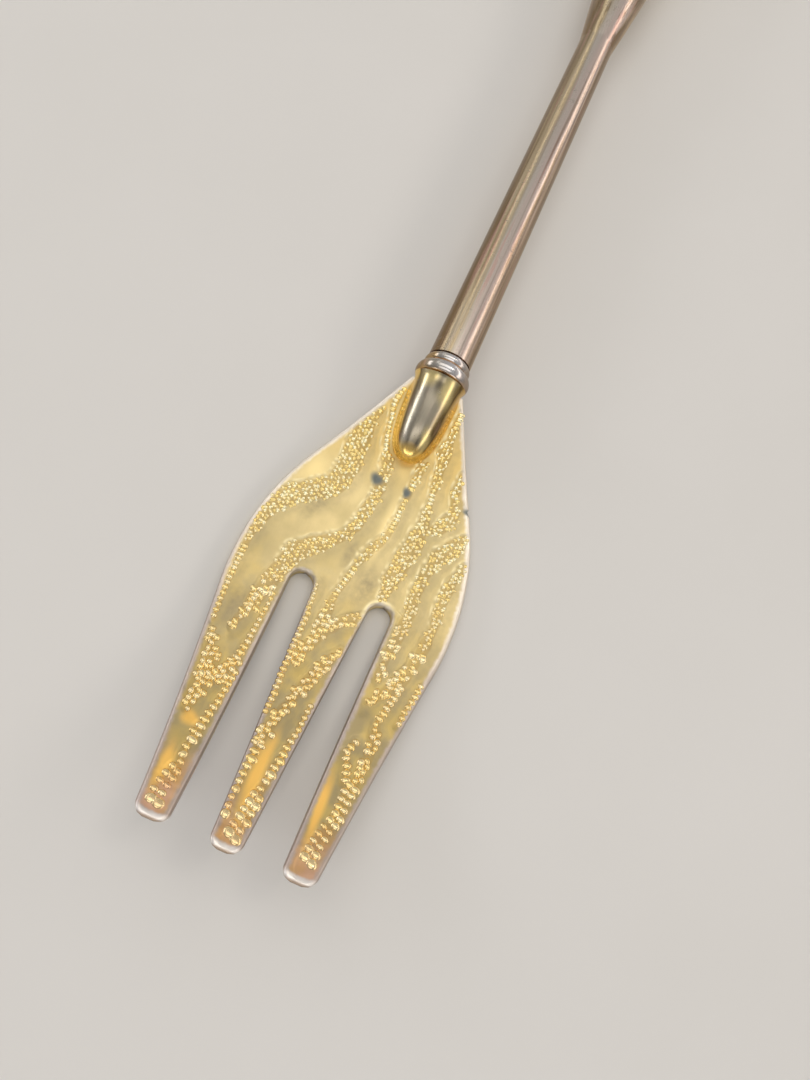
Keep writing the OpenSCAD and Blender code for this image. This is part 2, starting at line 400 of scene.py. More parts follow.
bead_finish = polished("silver bead with wear and painted light", BEAD_TONES, roughness=0.2, wander=0.5)
groove = attribute(bead_finish.tree, "groove")
finished(bead_finish, blend(groove, bead_finish.colour, GROOVE_GILT), 0.003 * MM)

# %% Finish of the tongue
TONGUE_SLOPE = math.radians(10)
# The tongue's tones are mostly painted light over a worn grey top: the pale stripe at -0.42 is a painted
# highlight, the dark lines at -0.57 and 0.58 are painted dark reflections, and the gold on both sides is a
# painted reflection of the head.
TONGUE_TONES = [
    (-2, (240, 204, 122)), (-0.9, (252, 220, 136)), (-0.66, (242, 204, 122)), (-0.57, (104, 88, 60)),
    (-0.5, (156, 144, 120)), (-0.42, (220, 211, 186)), (-0.35, (196, 188, 170)), (-0.26, (164, 156, 140)),
    (-0.1, (178, 170, 152)), (0.14, (182, 173, 154)), (0.28, (186, 176, 154)), (0.38, (184, 172, 144)),
    (0.45, (160, 142, 106)), (0.51, (140, 118, 76)), (0.58, (88, 70, 40)), (0.67, (198, 162, 92)),
    (0.95, (228, 190, 108)), (2, (236, 198, 116))]
TONGUE_HIGHLIGHT_CREAM = srgb(250, 228, 160)
TONGUE_DARK_REFLECTION = srgb(92, 84, 68)
NOSE_GOLD_REFLECTION = srgb(238, 200, 116)

tongue_finish = polished(
    "tongue with wear and painted light", TONGUE_TONES, roughness=0.24, wander=0.25, slope=math.tan(TONGUE_SLOPE))
tree = tongue_finish.tree
# Over the tones: painted highlight patches, painted dark reflection patches and a painted gold reflection
# on the nose.
colour = layered(
    tongue_finish.colour,
    (product(attribute(tree, "gilt"), 0.9), TONGUE_HIGHLIGHT_CREAM),
    (product(attribute(tree, "painted_dark_reflection"), 0.75), TONGUE_DARK_REFLECTION),
    (ramp(tongue_finish.run, 6.0 * MM, 6.7 * MM), NOSE_GOLD_REFLECTION))
finished(tongue_finish, colour, 0.003 * MM)
print("finishes:", [m.name for m in bpy.data.materials])

# %% [markdown]
# ## Turned pieces
# The beads, the shank, the handle and its cap are round, so each is a half section spun about the
# shank's axis. A section needs only a few points: straight stretches take their ends, and round ones
# are worked out from their radius.

# %% Spinning a section
SPIN_STEPS = 96


def keep(mesh, name, node_name, finish, sharp=35):
    """Turns a finished bmesh into a piece of the fork in place of a node of the frame."""
    bmesh.ops.recalc_face_normals(mesh, faces=mesh.faces[:])
    data = bpy.data.meshes.new(name)
    mesh.to_mesh(data)
    mesh.free()
    data.polygons.foreach_set("use_smooth", [True] * len(data.polygons))
    data.set_sharp_from_angle(angle=math.radians(sharp))
    data.materials.append(finish.material)
    piece = bpy.data.objects.new(name, data)
    bpy.context.scene.collection.objects.link(piece)
    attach(piece, "root")
    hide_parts(node_name)
    print(f"{name}: {len(data.polygons)} faces")


def spun(section, start, way):
    """Spins a section of distances and radii, in millimetres, about the line from start along way."""
    across = Vector((0.0, 1.0, 0.0))
    mesh = bmesh.new()
    row = [mesh.verts.new(start + (way * distance + across * radius) * MM) for distance, radius in section]
    chain = [mesh.edges.new(pair) for pair in zip(row, row[1:])]
    bmesh.ops.spin(
        mesh, geom=row + chain, cent=start, axis=way, angle=2 * math.pi, steps=SPIN_STEPS, use_merge=True)
    bmesh.ops.remove_doubles(mesh, verts=mesh.verts[:], dist=0.0002 * MM)
    return mesh


def between(first, last, share):
    """A value part of the way from one to another."""
    return first + (last - first) * share


def arc(middle, radii, from_degrees, to_degrees, steps):
    """Points on an ellipse round a middle, in the section's plane of distance and radius."""
    angles = [math.radians(between(from_degrees, to_degrees, i / steps)) for i in range(steps + 1)]
    return [(middle[0] + radii[0] * math.cos(a), middle[1] + radii[1] * math.sin(a)) for a in angles]


BACK = Vector((-1.0, 0.0, 0.0))

# %% Collar beads
LARGE_BEAD = (1.25, 4.9)
SMALL_BEAD = (1.0, 4.15)
BORE_RADIUS = 1.35
BEAD_RISE = 0.48
BEAD_STEPS = 20


def bead(name, node_name, begin, size):
    """One bead of the collar: bored flat sides and a rounded rim, toned where it meets its neighbours."""
    length, diameter = size
    rim = arc((begin + length / 2, diameter / 2 - BEAD_RISE), (length / 2, BEAD_RISE), 180, 0, BEAD_STEPS)
    section = [(begin, BORE_RADIUS), *rim, (begin + length, BORE_RADIUS), (begin, BORE_RADIUS)]
    mesh = spun(section, collar, BACK)
    groove = mesh.verts.layers.float.new("groove")
    for vert in mesh.verts:
        depth = diameter / 2 - (vert.co - collar).yz.length / MM
        vert[groove] = min(max(1.3 * depth / BEAD_RISE - 0.2, 0.0), 0.9)
    keep(mesh, name, node_name, bead_finish)


bead("large_bead_turned", "large_bead", 0.0, LARGE_BEAD)
bead("small_bead_turned", "small_bead", LARGE_BEAD[0], SMALL_BEAD)

# %% Shank
COLLAR_LENGTH = LARGE_BEAD[0] + SMALL_BEAD[0]
SHANK_LENGTH = 40.6
SHANK_RADII = (1.925, 1.75)
SHANK_RINGS = 40

taper = [
    (COLLAR_LENGTH + SHANK_LENGTH * i / SHANK_RINGS, between(*SHANK_RADII, i / SHANK_RINGS))
    for i in range(SHANK_RINGS + 1)]
shank_end = COLLAR_LENGTH + SHANK_LENGTH
shank = spun([(COLLAR_LENGTH, 0.0), *taper, (shank_end, 0.0)], collar, BACK)
keep(shank, "shank_turned", "shank", shank_finish)

# %% Handle and cap
GRIP_RADIUS = 3.7
FLARE_LENGTH = 27.0
FLARE_RINGS = 48
HANDLE_LENGTH = 67.0
CAP_RIM = 1.6
JOINT = 0.06

shell_end = shank_end + HANDLE_LENGTH - GRIP_RADIUS - CAP_RIM
flare = [
    (shank_end + FLARE_LENGTH * i / FLARE_RINGS,
     between(SHANK_RADII[1], GRIP_RADIUS, math.sin(math.pi / 2 * i / FLARE_RINGS)))
    for i in range(FLARE_RINGS + 1)]
shell_rim = [(shell_end - JOINT, GRIP_RADIUS), (shell_end, GRIP_RADIUS - JOINT), (shell_end, 0.0)]
shell_section = [(shank_end, 0.0), *flare, *shell_rim]
keep(spun(shell_section, collar, BACK), "handle_turned", "handle_shell", shank_finish)

dome = arc((shell_end + CAP_RIM, 0.0), (GRIP_RADIUS, GRIP_RADIUS), 90, 0, 24)
cap_section = [(shell_end, 0.0), (shell_end, GRIP_RADIUS - JOINT), (shell_end + JOINT, GRIP_RADIUS), *dome]
keep(spun(cap_section, collar, BACK), "cap_turned", "end_cap", shank_finish)

# %% [markdown]
# The tongue is spun too, about an axis that leans down to the head. A small cove joins it to the collar.
# Solder has drawn out in a skirt round its foot, so the lower half is spread a little after the spin.
# Its finish needs to know where painted highlights and painted dark reflections lie on it. Such places are
# ragged patches with soft edges, kept as attributes of the mesh, and the head will need them as well.

# %% Soft edges and patches
def smooth_step(low, high, value):
    """Eases from 0 to 1 while the value goes from low to high."""
    share = np.clip((value - low) / (high - low), 0.0, 1.0)
    return share * share * (3 - 2 * share)


def patches(x, y, places, blur):
    """A mask of ragged patches, each given by its middle, half length and half width."""
    mask = np.zeros(np.shape(x))
    for patch_x, patch_y, long, wide in places:
        angle = np.arctan2((y - patch_y) / wide, (x - patch_x) / long)
        ragged = 1 + 0.12 * np.sin(2 * angle + 9 * patch_y) + 0.1 * np.sin(3 * angle + 5 * patch_x)
        reach = np.hypot((x - patch_x) / long, (y - patch_y) / wide) / ragged
        mask = np.maximum(mask, smooth_step(1 + blur, 1 - blur, reach))
    return mask

# %% Tongue of the bolster
TONGUE_LENGTH = 7.4
TONGUE_RADIUS = 2.08
TONGUE_TAPER = 0.045
NOSE_POWER = 4.5
COVE_RISE = 0.17
COVE_RUN = 0.45
TONGUE_STEPS = 80
TONGUE_START = -0.2
SKIRT = 0.45
SKIRT_TOP = 0.3
SKIRT_DEPTH = 1.1
SKIRT_RUN = 1.4
# Patches on the upper half: painted highlights first, then painted dark reflections.
TONGUE_HIGHLIGHT_PATCHES = [(0.55, -0.85, 0.8, 0.55), (1.1, 0.85, 1.1, 0.55), (5.5, 0.8, 0.7, 0.35)]
TONGUE_DARK_PATCHES = [(0.95, 0.05, 0.95, 0.3), (6.1, 0.15, 0.5, 0.5)]


def tongue_radius(reach):
    """A taper that ends in a dome, with a cove where it meets the collar."""
    taper = TONGUE_RADIUS - TONGUE_TAPER * reach
    dome = math.sqrt(1 - max(reach / TONGUE_LENGTH, 0.0) ** NOSE_POWER)
    return taper * dome + COVE_RISE * math.exp(-reach / COVE_RUN)


reaches = [
    between(TONGUE_START, TONGUE_LENGTH, math.sin(math.pi / 2 * i / TONGUE_STEPS))
    for i in range(TONGUE_STEPS)]
half_section = [(TONGUE_START, 0.0), *((r, tongue_radius(r)) for r in reaches), (TONGUE_LENGTH, 0.0)]
down = Vector((math.cos(TONGUE_SLOPE), 0.0, -math.sin(TONGUE_SLOPE)))
tongue = spun(half_section, collar, down)
# Two attributes: where a painted highlight lies, and where a painted dark reflection lies.
gilt = tongue.verts.layers.float.new("gilt")
painted_dark_reflection = tongue.verts.layers.float.new("painted_dark_reflection")
for vert in tongue.verts:
    px, py, pz = (vert.co - collar) / MM
    low = px * math.tan(-TONGUE_SLOPE) - pz
    if low < 0:
        vert[gilt] = patches(px, py, TONGUE_HIGHLIGHT_PATCHES, 0.8)
        vert[painted_dark_reflection] = patches(px, py, TONGUE_DARK_PATCHES, 0.8)
    if low > -SKIRT_TOP and abs(py) > 0.2:
        spread = SKIRT * min(low + SKIRT_TOP, SKIRT_DEPTH) * smooth_step(0.0, SKIRT_RUN, px)
        vert.co.y += math.copysign(spread * MM, py)
keep(tongue, "tongue_cast", "bolster", tongue_finish)

# %% [markdown]
# ## The struck head
# The head is a flat blank that a die pressed and bent. It is made in the same order here: a fine grid
# is laid out to the blank's outline, opened along the two slots, given the die's relief and its
# thickness, and bent last. Working flat keeps every step a matter of lengths on the blank.

# %% Outline of the blank
HEAD_LENGTH = (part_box("fork_head")[1].x - collar.x) / MM
ROOT_HALF = 2.4
SHOULDER = np.array((15.4, 10.5))
SHOULDER_RADIUS = 22.5
TIP_HALF = 6.6
TIP_RADIUS = 0.8
SLOT_PLACE = 19.1
SLOT_MIDDLES = (3.5, 2.65)
SLOT_HALVES = (1.0, 1.5)


def unit(v):
    """A direction of length 1."""
    return v / np.linalg.norm(v)


to_root = unit(np.array((0.0, ROOT_HALF)) - SHOULDER)
to_tip = unit(np.array((HEAD_LENGTH, TIP_HALF)) - SHOULDER)
shoulder_angle = math.acos(to_root @ to_tip) / 2
shoulder_middle = SHOULDER + unit(to_root + to_tip) * SHOULDER_RADIUS / math.sin(shoulder_angle)
shoulder_reach = SHOULDER_RADIUS / math.tan(shoulder_angle)
shoulder_start = (SHOULDER + to_root * shoulder_reach)[0]
shoulder_end = (SHOULDER + to_tip * shoulder_reach)[0]


def half_width(x):
    """Half the width of the head at a distance from the collar."""
    root_edge = between(ROOT_HALF, SHOULDER[1], x / SHOULDER[0])
    tine_edge = between(SHOULDER[1], TIP_HALF, (x - SHOULDER[0]) / (HEAD_LENGTH - SHOULDER[0]))
    under_arc = np.maximum(SHOULDER_RADIUS ** 2 - (x - shoulder_middle[0]) ** 2, 0.0)
    round_edge = shoulder_middle[1] + np.sqrt(under_arc)
    return np.where(x < shoulder_start, root_edge, np.where(x > shoulder_end, tine_edge, round_edge))


def along_tine(x, values):
    """A size that changes evenly from the slots' roots to the tips."""
    return between(*values, (x - SLOT_PLACE) / (HEAD_LENGTH - SLOT_PLACE))


def slot_middle(x):
    """Distance of a slot's middle line from the head's middle; above the root it follows the outline."""
    share = SLOT_MIDDLES[0] / half_width(SLOT_PLACE)
    return np.where(x < SLOT_PLACE, half_width(x) * share, along_tine(x, SLOT_MIDDLES))


def slot_half(x):
    """Half the width of a slot, round at its root."""
    root = SLOT_HALVES[0]
    rise = np.clip(SLOT_PLACE + root - x, 0.0, root)
    opened = np.sqrt(np.maximum(along_tine(x, SLOT_HALVES) ** 2 - rise ** 2, 0.0))
    return np.where(x <= SLOT_PLACE, 0.0, opened)


def inset_at_tip(x):
    """How far the corner radius draws a tine's side in, near its end."""
    run = np.clip(x - (HEAD_LENGTH - TIP_RADIUS), 0.0, TIP_RADIUS)
    return TIP_RADIUS - np.sqrt(TIP_RADIUS ** 2 - run ** 2)


def rim_distance(x, y):
    """Distance of a point of the blank from its nearest edge."""
    slope = (half_width(x + 0.05) - half_width(x - 0.05)) / 0.1
    outer = (half_width(x) - np.abs(y)) / np.sqrt(1 + slope ** 2)
    off_slot = np.abs(np.abs(y) - slot_middle(x))
    past_root = x - (SLOT_PLACE + SLOT_HALVES[0])
    off_side = off_slot - along_tine(x, SLOT_HALVES)
    slot = np.where(past_root > 0, off_side, np.hypot(off_slot, past_root) - SLOT_HALVES[0])
    sides = np.minimum(outer, slot)
    end = HEAD_LENGTH - x
    corner = TIP_RADIUS - np.hypot(TIP_RADIUS - sides, TIP_RADIUS - end)
    near_corner = (sides < TIP_RADIUS) & (end < TIP_RADIUS)
    return np.maximum(np.where(near_corner, corner, np.minimum(sides, end)), 0.0)


widest = 2 * half_width(np.linspace(0, HEAD_LENGTH, 200)).max()
print(f"blank {HEAD_LENGTH:.1f} mm long and {widest:.2f} mm wide")

# %% [markdown]
# The die's pattern is an old one, like wood grain: smooth bands wave along the head, and between them
# run bands of small beads. A band is a drawn line: each of its points has a distance from the
# collar, a distance to the right of the middle, and a half width. A point of the blank belongs to the
# nearest band. The floor of a band drops steeply from the smooth metal on its left and gently on its
# right.

# %% Bands of beads
STEEP_WALL = (0.20, -0.06)
GENTLE_WALL = (0.95, -0.10)
BEAD_BANDS = [
    [(3.4, -3.5, 0.25), (4.6, -3.9, 0.5), (5.6, -4.2, 0.85), (7, -4.2, 1.05), (9, -4.1, 1.1),
     (10.4, -4.2, 1.05), (11.5, -4.6, 1.1), (12.6, -6, 1), (14, -7.8, 1), (15.5, -8.5, 0.8),
     (17, -8.8, 0.6), (19, -8.9, 0.4), (23, -8.7, 0.3), (26, -8.3, 0.25)],
    [(1.3, -2.6, 0.3), (2, -2.8, 0.4), (2.8, -2.8, 0.35), (3.8, -2.5, 0.3), (5, -2.3, 0.3),
     (6.4, -1.9, 0.35), (7.3, -1.3, 0.6), (8.4, -1.1, 0.55), (10, -0.9, 0.55), (12, -1.1, 0.6),
     (13.5, -1.3, 0.6), (14.8, -1.8, 0.55), (15.8, -2.7, 0.6), (16.8, -3.8, 0.9), (18, -5, 0.95),
     (20, -5.5, 0.85), (22.5, -6.1, 0.75), (25.7, -6.7, 0.4)],
    [(6.5, 1.6, 0.5), (10, 1.5, 0.3), (13.3, 1.4, 0.4), (14.5, 0.9, 0.45), (15.7, 0.4, 0.5),
     (17, 0, 0.4), (19.6, -0.5, 0.35), (22, -0.6, 0.6), (23.5, -0.4, 0.65), (25, -0.8, 0.55),
     (26.2, -1.2, 0.4)],
    [(20.8, 2.1, 0.4), (21.5, 1.2, 0.5), (22.4, 0.4, 0.6), (23.2, -0.2, 0.6)],
    [(24, 1.8, 0.4), (25.6, 1, 0.6), (27, 0.5, 0.6), (28.5, 0.1, 0.55), (30.7, -0.6, 0.5),
     (32, -0.8, 0.5), (33.3, -0.9, 0.45), (35, -1, 0.4), (37, -1, 0.35), (38.5, -0.9, 0.3)],
    [(1.3, 2.8, 0.39), (2.6, 2.9, 0.39), (3.6, 2.9, 0.5), (4.6, 2.9, 0.7), (6.4, 3.2, 0.5),
     (9.4, 3.5, 0.35), (10.9, 3.7, 0.55), (12.4, 3.7, 0.8), (14, 3.6, 0.95), (15.4, 3.3, 0.9),
     (17, 3.1, 0.75), (18.4, 3.1, 0.5)],
    [(6, 5.1, 0.4), (8, 5.2, 0.4), (9, 5.8, 0.5), (10, 5.7, 0.7), (11, 5.1, 0.7), (11.6, 4.4, 0.5)],
    [(11.2, 7.4, 0.6), (12.3, 6.7, 0.9), (13.5, 6, 0.8), (15, 5.6, 0.6), (16.7, 5.4, 0.55),
     (18.4, 5.6, 0.6), (20, 5.6, 0.6), (22, 5.4, 0.5), (24.8, 5.2, 0.4)],
    [(13.2, 8.4, 0.4), (14.7, 7.9, 0.55), (16.2, 7.7, 0.55), (19.5, 7.9, 0.5), (21.2, 7.7, 0.6),
     (22.8, 7.5, 0.6), (24.2, 7, 0.7), (25.5, 6.4, 0.6), (26.5, 5.6, 0.45), (27.1, 5.2, 0.3)],
    [(24.8, 7.3, 0.3), (26.5, 6.9, 0.35), (28.2, 6.5, 0.4), (29.4, 6.9, 0.5), (30.6, 6.9, 0.5),
     (32.2, 6.7, 0.45), (33.5, 6.5, 0.5), (35.4, 6.4, 0.45), (36.6, 6, 0.5), (37.8, 5.7, 0.57),
     (39.3, 5.4, 0.55)],
    [(24, 8.7, 0.3), (25.7, 8.4, 0.3), (27.6, 8.1, 0.25)],
    [(30.1, 5.6, 0.3), (31.1, 5.2, 0.35), (31.9, 5.6, 0.35), (33, 6, 0.4)],
    [(26.6, -8, 0.3), (27.8, -7.6, 0.5), (29, -7, 0.8), (30.3, -6.8, 0.9), (31.5, -6.8, 0.75),
     (32.6, -6.7, 0.5)],
    [(22, -5, 0.2), (24.5, -5.1, 0.25), (26.3, -5.1, 0.3), (28, -5.3, 0.4), (29.3, -5.8, 0.7),
     (30.2, -6.2, 0.6)],
    [(29, -4.9, 0.3), (31.5, -5, 0.3), (33, -5.2, 0.4), (34.4, -5.3, 0.45), (35.6, -5.5, 0.4),
     (36.3, -5.2, 0.4), (37.4, -5.5, 0.5), (38.3, -5.6, 0.59), (39.3, -5.6, 0.55)],
    [(19.8, -2.2, 0.2), (22.5, -1.9, 0.3), (24.8, -1.8, 0.3), (27.5, -1.7, 0.3), (29.5, -1.5, 0.3),
     (31, -1.5, 0.2)],
    [(29, 1.4, 0.25), (31, 1.3, 0.25), (32.6, 1.1, 0.35), (34, 0.9, 0.4), (35.2, 0.7, 0.4),
     (36.7, 0.5, 0.45), (38, 0.4, 0.55), (39.3, 0.1, 0.55)],
]


def nearest_band(x, y):
    """How far points lie outside their nearest band, and where in it; the channel's depth there."""
    found = {label: np.zeros(x.shape) for label in ("along", "side", "half", "channel")}
    found["outside"] = np.full(x.shape, 99.0)
    for points in BEAD_BANDS:
        walked = 0.0
        for (x0, y0, w0), (x1, y1, w1) in zip(points, points[1:]):
            length = math.hypot(x1 - x0, y1 - y0)
            share = np.clip(((x - x0) * (x1 - x0) + (y - y0) * (y1 - y0)) / length ** 2, 0.0, 1.0)
            half = between(w0, w1, share)
            away = np.hypot(x - x0 - share * (x1 - x0), y - y0 - share * (y1 - y0)) - half
            side = ((x1 - x0) * (y - y0) - (y1 - y0) * (x - x0)) / length
            steep = smooth_step(*STEEP_WALL, away)
            gentle = smooth_step(*GENTLE_WALL, away)
            wall = between(steep, gentle, smooth_step(-0.3, 0.3, side))
            found["channel"] = np.maximum(found["channel"], wall)
            closer = away < found["outside"]
            here = {"outside": away, "along": walked + length * share, "side": side, "half": half}
            for label, value in here.items():
                found[label] = np.where(closer, value, found[label])
            walked += length
    return found


print(f"{len(BEAD_BANDS)} bands, {sum(map(len, BEAD_BANDS))} points")

# %% [markdown]
# Wide bands are filled with a scatter of round beads, and narrow ones hold a single file of them, with
# pairs side by side near the tips. Every bead is moved and sized a little by chance, so that it doesn't
# look like a machine's grid. The chance comes from a formula, so each run gives the same beads. No bead
# is left where the plating has failed, which is at two spots on the neck and a nick in the right edge.

# %% Places of the beads
BELLY_PITCH = 0.38
TINE_PITCH = 0.5
TIP_PITCH = 0.57
TINES_FROM = 21.5
RIBS_FROM = 33.0
SINGLE_FILE = 0.4
RIB_FILE = 0.6
PAIRED_FROM = 0.44
PAIR_APART = 1.1
PAIR_AHEAD = 0.3
PAIR_SIZE = 0.85
TINE_SIZE = 1.2
ROW_PITCH = 0.88
JITTER = 0.55
TINE_PITCH_GROWS = (19.0, 24.0)
TIP_PITCH_GROWS = (30.0, 35.0)
SIZES_VARY = (32.0, 35.0)
FILES_WIDEN = (21.0, 26.0)
FILES_NARROW = (34.0, 37.0)
SPOTS = [(9.26, -1.5, 0.5, 0.48), (9.28, 1.3, 0.45, 0.3), (8.62, 6.85, 0.3, 0.42)]


def scatter(a, b, seed):
    """A repeatable random share for each pair of whole numbers."""
    value = np.sin(a * 127.1 + b * 311.7 + seed * 74.7) * 43758.5453
    return value - np.floor(value)


def widest_file(x):
    """The half width up to which a band holds a single file of beads."""
    return np.where(x > RIBS_FROM, RIB_FILE, SINGLE_FILE)


def scattered_beads(pitch, size, start, stop):
    """Beads that fill the wide bands, in rows set off by half a bead and moved a little by chance."""
    most = int(SHOULDER[1] / pitch / ROW_PITCH) + 1
    column, row = np.meshgrid(np.arange(start // pitch, stop // pitch), np.arange(-most, most + 1.0))
    x = pitch * (column + 0.5 * (row % 2) + JITTER * (scatter(column, row, 6) - 0.5))
    y = pitch * ROW_PITCH * (row + JITTER * (scatter(column, row, 7) - 0.5))
    band = nearest_band(x, y)
    ragged = 0.06 - 0.25 * scatter(column, row, 11)
    there = (band["outside"] < ragged) & (band["half"] >= widest_file(x)) & (rim_distance(x, y) > 0.3)
    long, wide = (pitch * size * (0.38 + 0.24 * scatter(column, row, seed)) for seed in (8, 9))
    turned = math.pi * scatter(column, row, 10)
    return [values[there] for values in (x, y, long, wide, turned)]


def file_pitch(x):
    """Distance from bead to bead in a file."""
    pitch = between(BELLY_PITCH, TINE_PITCH, smooth_step(*TINE_PITCH_GROWS, x))
    return pitch + (TIP_PITCH - TINE_PITCH) * smooth_step(*TIP_PITCH_GROWS, x)


def filed_beads(points):
    """Beads in file along the narrow stretches of a band, about as wide as the band is there."""
    beads = []
    ahead = 0.0
    for (x0, y0, w0), (x1, y1, w1) in zip(points, points[1:]):
        length = math.hypot(x1 - x0, y1 - y0)
        turned = math.atan2(y1 - y0, x1 - x0)
        while ahead < length:
            share = ahead / length
            x = between(x0, x1, share)
            half = between(w0, w1, share)
            lot = scatter(x, y0, 3)
            y = between(y0, y1, share) + 0.3 * half * (lot - 0.5)
            if half < widest_file(x):
                size = 1 + (0.4 * lot - 0.25) * smooth_step(*SIZES_VARY, x)
                long = file_pitch(x) * (0.47 + 0.1 * lot) * size
                full = 0.9 + 0.25 * smooth_step(*FILES_WIDEN, x) - 0.2 * smooth_step(*FILES_NARROW, x)
                wide = max(full * half, 0.95 * long) * size
                paired = x > RIBS_FROM and half > PAIRED_FROM
                wide *= PAIR_SIZE if paired else 1.0
                for off in (-0.5, 0.5) if paired else (0.0,):
                    bead_x = x - PAIR_APART * off * half * math.sin(turned) + PAIR_AHEAD * off * long
                    bead_y = y + PAIR_APART * off * half * math.cos(turned)
                    beads.append((bead_x, bead_y, long, wide, turned))
            ahead += file_pitch(x)
        ahead -= length
    return np.array(beads).reshape(-1, 5).T


places = [
    scattered_beads(BELLY_PITCH, 1.0, 0.0, TINES_FROM),
    scattered_beads(TINE_PITCH, TINE_SIZE, TINES_FROM, HEAD_LENGTH)]
places += [filed_beads(points) for points in BEAD_BANDS]
beads = np.concatenate(places, axis=1).T
off_rim = rim_distance(beads[:, 0], beads[:, 1]) > 0.2
off_spots = patches(beads[:, 0], beads[:, 1], SPOTS, 0.4) < 0.3
beads = beads[off_rim & off_spots]
print(f"{len(beads)} beads")

# %% [markdown]
# The relief is small: the beaded bands lie a little lower than the smooth ones and the beads stand up
# out of them. Years of use have rounded the rim of the blank and worn its gilding through. The relief is
# real geometry. What the finish needs to know about each point goes into attributes of the mesh, and
# some of these mark where highlights and shade are painted into the colour.

# %% Relief
PLATE = 1.2
TIP_PLATE = 1.0
BELLY_FRONT = 17.1
BAND_DEPTH = 0.06
SWELL = 0.02
LIP = 0.05
RIPPLE = 0.006
RIM_WIDTH = 0.36
RIM_DROP = 0.3
FACE_EDGE = (0.1, 0.32)
WANDER = 0.07
SPOT_DEPTH = 0.04
LIP_FADES = (21.0, 17.0)
RIPPLE_GROWS = (36.5, 38.0)
SLOT_WEAR = (27.0, 20.0)
RIGHT_RIM_HIGHLIGHT_RUN = (28.0, 22.0)
# A raised lip with a painted highlight round the root of the right slot.
SLOT_LIP = [(19.3, 2.7, 1.7, 1.2)]
WARM_PATCHES = [
    (33.4, -6.2, 0.45, 0.7), (36.9, -6.2, 1.2, 0.42), (35.2, -0.1, 3.2, 0.45), (35.4, 4.9, 2.2, 0.4)]
# Greyer patches on the smooth gilding.
GREY_PATCHES = [
    (16.2, -0.9, 1.3, 0.35), (13.2, -5.2, 1.4, 0.8), (18.2, 1.3, 1.8, 0.8), (24.2, -7.4, 1.6, 0.6)]
# Bright patches painted as highlights on the left shoulder, the neck and the belly.
HIGHLIGHT_PATCHES = [(10.8, -6.5, 1.3, 0.9), (5.2, -2.0, 2.2, 0.35), (13.0, 1.0, 2.6, 0.5)]


def waves(x, y):
    """A slow swell of the smooth bands."""
    return np.sin(0.9 * x + 1.3 * np.sin(0.55 * y)) * np.sin(0.8 * y + 0.35 * x)


def half_plate(x):
    """Half the thickness of the plate, which tapers along the tines."""
    share = np.clip((x - BELLY_FRONT) / (HEAD_LENGTH - BELLY_FRONT), 0.0, 1.0)
    return between(PLATE, TIP_PLATE, share) / 2


def relief(x, y):
    """Height of the struck face over the blank's middle, and the attributes that go with it."""
    rim = rim_distance(x, y)
    wander_x = x + WANDER * np.sin(2.9 * y + 1.7 * np.sin(2.3 * x))
    wander_y = y + WANDER * np.sin(2.6 * x + 1.9 * np.sin(3.1 * y))
    band = nearest_band(wander_x, wander_y)
    outside = band["outside"]
    on_face = smooth_step(*FACE_EDGE, rim)
    # A raised lip along the left edge of each band, which the finish also paints cream as a painted
    # highlight.
    lip = np.exp(-((outside - 0.1) / 0.12) ** 2) * smooth_step(0.0, -0.25, band["side"])
    lip *= on_face * smooth_step(*LIP_FADES, x)
    lip *= 0.55 + 0.45 * np.sin(7 * band["along"] + 2 * np.sin(2 * band["along"]))
    lip = np.maximum(lip, smooth_step(0.6, 0.3, rim) * patches(x, y, SLOT_LIP, 0.5))
    spot = patches(x, y, SPOTS, 0.6)
    off_rim = 1 - np.minimum(rim / RIM_WIDTH, 1.0)
    height = SWELL * waves(x, y) * (1 - band["channel"])
    height += LIP * lip - BAND_DEPTH * band["channel"] * on_face
    ripple = np.sin(11 * x + 1.5 * y + 2 * np.sin(1.7 * x)) * smooth_step(*RIPPLE_GROWS, x)
    height += RIPPLE * ripple * on_face
    height -= SPOT_DEPTH * spot + RIM_DROP * (1 - np.sqrt(1 - off_rim ** 2))
    # Painted shade: grey on the gentle slope beside the right edge of each band.
    shade = 0.45 * smooth_step(1.0, 0.1, outside) * smooth_step(0.0, 0.25, band["side"])
    by_slot = smooth_step(*SLOT_WEAR, x) * (x > 17.0) * (np.abs(y) < 6.0)
    # Painted highlight: the bare silver along the right edge of the head, short of the tines, is made
    # wider.
    right_rim_highlight = smooth_step(4.5, 6.0, y) * smooth_step(*RIGHT_RIM_HIGHLIGHT_RUN, x)
    # For the finish: the lips' cream and the bright patches are painted highlights, the grey beside each
    # band is painted shade, and the wider bare silver along the right edge is a painted highlight.
    facts = {
        "gap": smooth_step(0.0, -0.2, outside) * on_face,
        "lip": lip,
        "rim": rim + 0.2 * by_slot - 0.1 * right_rim_highlight,
        "spot": spot,
        "painted_highlight": patches(x, y, HIGHLIGHT_PATCHES, 0.9),
        "warm": patches(x, y, WARM_PATCHES, 0.65),
        "grey_and_shade": np.maximum(patches(x, y, GREY_PATCHES, 0.9), shade)}
    return half_plate(x) + height, facts

# %% [markdown]
# The grid has one column block for each tine. Its rows meet the slots' roots exactly, and the two
# seams between the blocks are split from there to the tips. Moving the columns to the outline then
# opens the slots by itself, with round roots, and no edge has to be cut.

# %% Grid of the blank
ROWS = (180, 180)
COLUMNS = (58, 66, 58)
HEAD_BACK = 0.05
FACTS = ("bead", "gap", "tone", "lip", "painted_highlight", "rim", "spot", "warm", "grey_and_shade", "slot")

seams = (COLUMNS[0], COLUMNS[0] + COLUMNS[1])
row_count = sum(ROWS)
column_count = sum(COLUMNS)
head = bmesh.new()
layers = {label: head.verts.layers.float.new(label) for label in FACTS}
bmesh.ops.create_grid(head, x_segments=row_count, y_segments=column_count, size=1.0)


